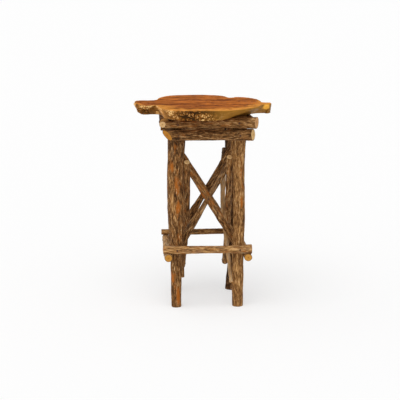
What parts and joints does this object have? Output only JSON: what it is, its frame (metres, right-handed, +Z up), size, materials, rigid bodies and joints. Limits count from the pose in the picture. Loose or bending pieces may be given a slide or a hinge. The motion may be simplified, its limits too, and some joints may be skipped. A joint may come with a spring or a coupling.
{
  "type": "rustic hickory table",
  "caption": "Tall rustic table: a natural-edge burl slab on bark-on hickory poles, tied by nailed rails, stretchers and crossed stick braces.",
  "frame": {"origin": "on the floor under the middle of the slab's outline", "axes": "+Z up, -Y towards the side that the picture shows, +X to the right in the picture"},
  "size_m": [0.521, 0.504, 0.762],
  "materials": {
    "hickory_bark": "bark left on, oiled, dull",
    "burl_wood": "oiled top, rough natural edge",
    "cut_nail_iron": "dark, dull"
  },
  "bodies": {
    "root": {"back_falling_brace": "hickory_bark", "back_left_leg": "hickory_bark", "back_lower_rail": "hickory_bark", "back_right_leg": "hickory_bark", "back_rising_brace": "hickory_bark", "back_stretcher": "hickory_bark", "back_upper_rail": "hickory_bark", "brace_nails": "cut_nail_iron", "front_falling_brace": "hickory_bark", "front_left_leg": "hickory_bark", "front_lower_rail": "hickory_bark", "front_right_leg": "hickory_bark", "front_rising_brace": "hickory_bark", "front_stretcher": "hickory_bark", "front_upper_rail": "hickory_bark", "left_falling_brace": "hickory_bark", "left_rail": "hickory_bark", "left_rising_brace": "hickory_bark", "left_stretcher": "hickory_bark", "rail_nails": "cut_nail_iron", "right_falling_brace": "hickory_bark", "right_rail": "hickory_bark", "right_rising_brace": "hickory_bark", "right_stretcher": "hickory_bark", "slab_nails": "cut_nail_iron", "stretcher_nails": "cut_nail_iron", "top_slab": "burl_wood"}
  },
  "joints": []
}
